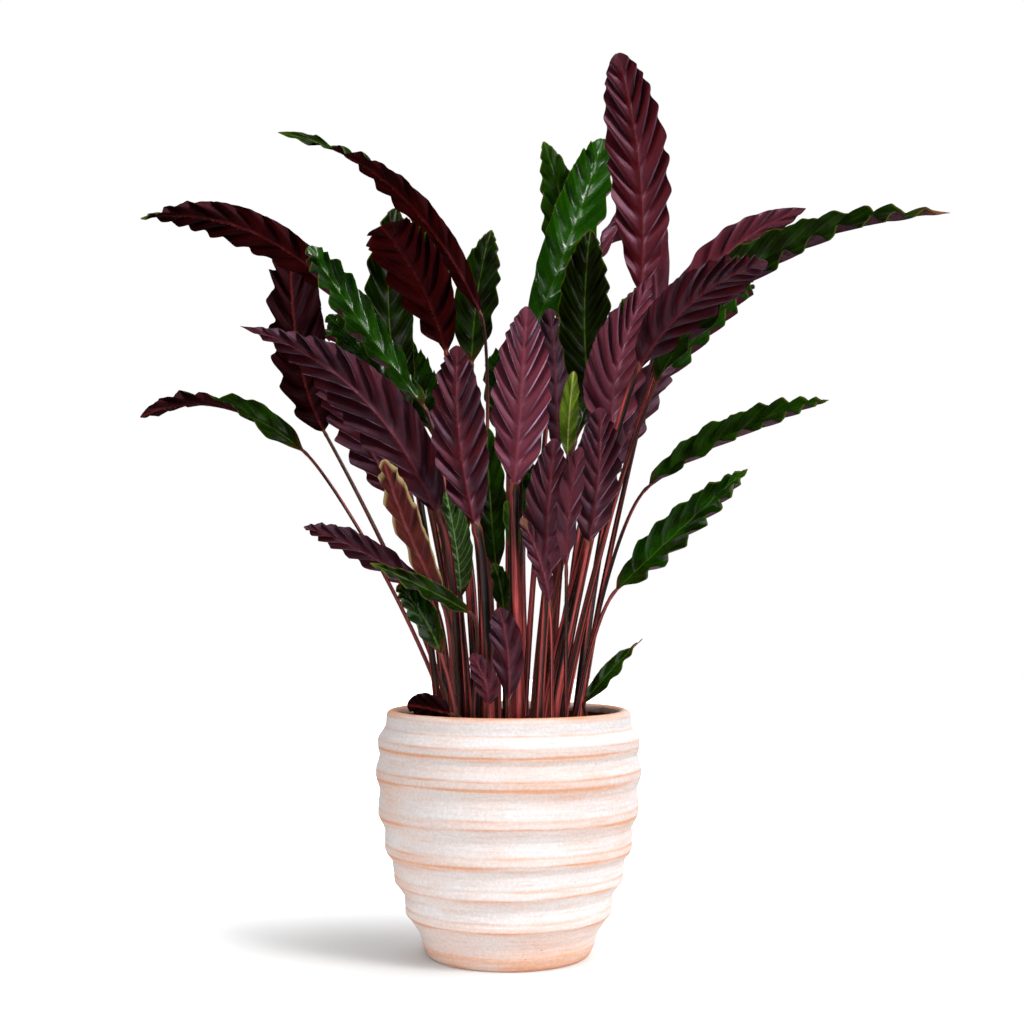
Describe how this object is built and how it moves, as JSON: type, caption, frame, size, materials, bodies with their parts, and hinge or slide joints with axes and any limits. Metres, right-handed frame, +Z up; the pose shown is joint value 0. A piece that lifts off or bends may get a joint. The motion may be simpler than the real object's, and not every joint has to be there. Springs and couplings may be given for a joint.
{
  "type": "potted velvet calathea",
  "caption": "Prayer plant with narrow wavy leaves, green above and burgundy below, on upright crimson stalks in a ribbed whitewashed clay pot.",
  "frame": {"origin": "middle of the pot's flat underside", "axes": "+Z up along the pot's axis, which is also the plant's height; X across the widest spread of the leaves as pictured; -Y towards the viewer"},
  "size_m": [0.6671, 0.3784, 0.7432],
  "materials": {
    "clay": "matt fired clay with a chalky whitewash, terracotta showing on the ridges",
    "peat": "loose dark potting soil",
    "frond": "satin leaf, green above and burgundy below, on a crimson stalk"
  },
  "bodies": {
    "root": {"pot": "clay", "soil": "peat", "leaf_01": "frond", "leaf_02": "frond", "leaf_03": "frond", "leaf_04": "frond", "leaf_05": "frond", "leaf_06": "frond", "leaf_07": "frond", "leaf_08": "frond", "leaf_09": "frond", "leaf_10": "frond", "leaf_11": "frond", "leaf_12": "frond", "leaf_13": "frond", "leaf_14": "frond", "leaf_15": "frond", "leaf_16": "frond", "leaf_17": "frond", "leaf_18": "frond", "leaf_19": "frond", "leaf_20": "frond", "leaf_21": "frond", "leaf_22": "frond", "leaf_23": "frond", "leaf_24": "frond", "leaf_25": "frond", "leaf_26": "frond", "leaf_27": "frond", "leaf_28": "frond", "leaf_29": "frond", "leaf_30": "frond", "leaf_31": "frond", "leaf_32": "frond", "leaf_33": "frond", "leaf_34": "frond", "leaf_35": "frond", "leaf_36": "frond", "leaf_37": "frond", "leaf_38": "frond", "leaf_39": "frond", "leaf_40": "frond", "leaf_41": "frond", "leaf_42": "frond", "leaf_43": "frond", "leaf_44": "frond", "leaf_45": "frond", "leaf_46": "frond", "leaf_47": "frond", "leaf_48": "frond", "leaf_49": "frond", "leaf_50": "frond", "leaf_51": "frond", "leaf_52": "frond"}
  },
  "joints": []
}
